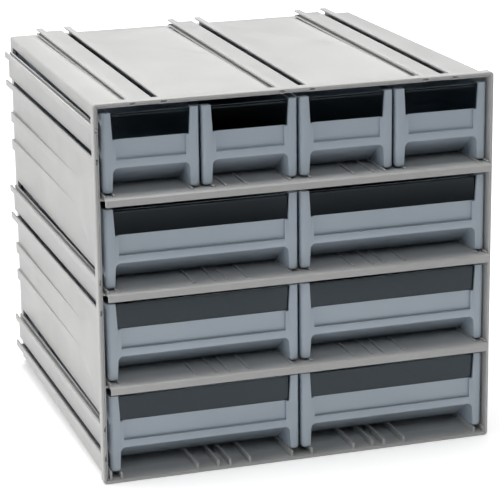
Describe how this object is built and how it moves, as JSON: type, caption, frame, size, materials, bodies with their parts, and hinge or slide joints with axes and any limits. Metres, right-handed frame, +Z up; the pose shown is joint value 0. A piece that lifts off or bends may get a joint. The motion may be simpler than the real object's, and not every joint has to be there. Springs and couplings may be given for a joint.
{
  "type": "parts bin cabinet",
  "caption": "Desktop cabinet of moulded plastic with sliding drawers that have clear windows, for sorting small parts; rails on its side and roof join it to others.",
  "frame": {"origin": "on the table, at the middle of the cabinet's width and depth", "axes": "+Z up, +Y from the front to the back, +X to the right as seen from the front; drawers open towards -Y"},
  "size_m": [0.2986, 0.2934, 0.2794],
  "materials": {
    "casing_plastic": "light grey moulded plastic, satin",
    "drawer_plastic": "blue-grey moulded plastic, satin",
    "clear_pane": "clear moulded plastic, glossy"
  },
  "bodies": {
    "cabinet": {"casing": "casing_plastic", "shelf_1": "casing_plastic", "shelf_2": "casing_plastic", "shelf_3": "casing_plastic"},
    "drawer_r1_c1": {"drawer_r1_c1": "drawer_plastic", "window_r1_c1": "clear_pane"},
    "drawer_r1_c2": {"drawer_r1_c2": "drawer_plastic", "window_r1_c2": "clear_pane"},
    "drawer_r1_c3": {"drawer_r1_c3": "drawer_plastic", "window_r1_c3": "clear_pane"},
    "drawer_r1_c4": {"drawer_r1_c4": "drawer_plastic", "window_r1_c4": "clear_pane"},
    "drawer_r2_c1": {"drawer_r2_c1": "drawer_plastic", "window_r2_c1": "clear_pane"},
    "drawer_r2_c2": {"drawer_r2_c2": "drawer_plastic", "window_r2_c2": "clear_pane"},
    "drawer_r3_c1": {"drawer_r3_c1": "drawer_plastic", "window_r3_c1": "clear_pane"},
    "drawer_r3_c2": {"drawer_r3_c2": "drawer_plastic", "window_r3_c2": "clear_pane"},
    "drawer_r4_c1": {"drawer_r4_c1": "drawer_plastic", "window_r4_c1": "clear_pane"},
    "drawer_r4_c2": {"drawer_r4_c2": "drawer_plastic", "window_r4_c2": "clear_pane"}
  },
  "joints": [
    {"name": "slide_r1_c1", "type": "slide", "parent": "cabinet", "child": "drawer_r1_c1", "axis": [0, -1, 0], "range_m": [0, 0.233]},
    {"name": "slide_r1_c2", "type": "slide", "parent": "cabinet", "child": "drawer_r1_c2", "axis": [0, -1, 0], "range_m": [0, 0.233]},
    {"name": "slide_r1_c3", "type": "slide", "parent": "cabinet", "child": "drawer_r1_c3", "axis": [0, -1, 0], "range_m": [0, 0.233]},
    {"name": "slide_r1_c4", "type": "slide", "parent": "cabinet", "child": "drawer_r1_c4", "axis": [0, -1, 0], "range_m": [0, 0.233]},
    {"name": "slide_r2_c1", "type": "slide", "parent": "cabinet", "child": "drawer_r2_c1", "axis": [0, -1, 0], "range_m": [0, 0.233]},
    {"name": "slide_r2_c2", "type": "slide", "parent": "cabinet", "child": "drawer_r2_c2", "axis": [0, -1, 0], "range_m": [0, 0.233]},
    {"name": "slide_r3_c1", "type": "slide", "parent": "cabinet", "child": "drawer_r3_c1", "axis": [0, -1, 0], "range_m": [0, 0.233]},
    {"name": "slide_r3_c2", "type": "slide", "parent": "cabinet", "child": "drawer_r3_c2", "axis": [0, -1, 0], "range_m": [0, 0.233]},
    {"name": "slide_r4_c1", "type": "slide", "parent": "cabinet", "child": "drawer_r4_c1", "axis": [0, -1, 0], "range_m": [0, 0.233]},
    {"name": "slide_r4_c2", "type": "slide", "parent": "cabinet", "child": "drawer_r4_c2", "axis": [0, -1, 0], "range_m": [0, 0.233]}
  ]
}
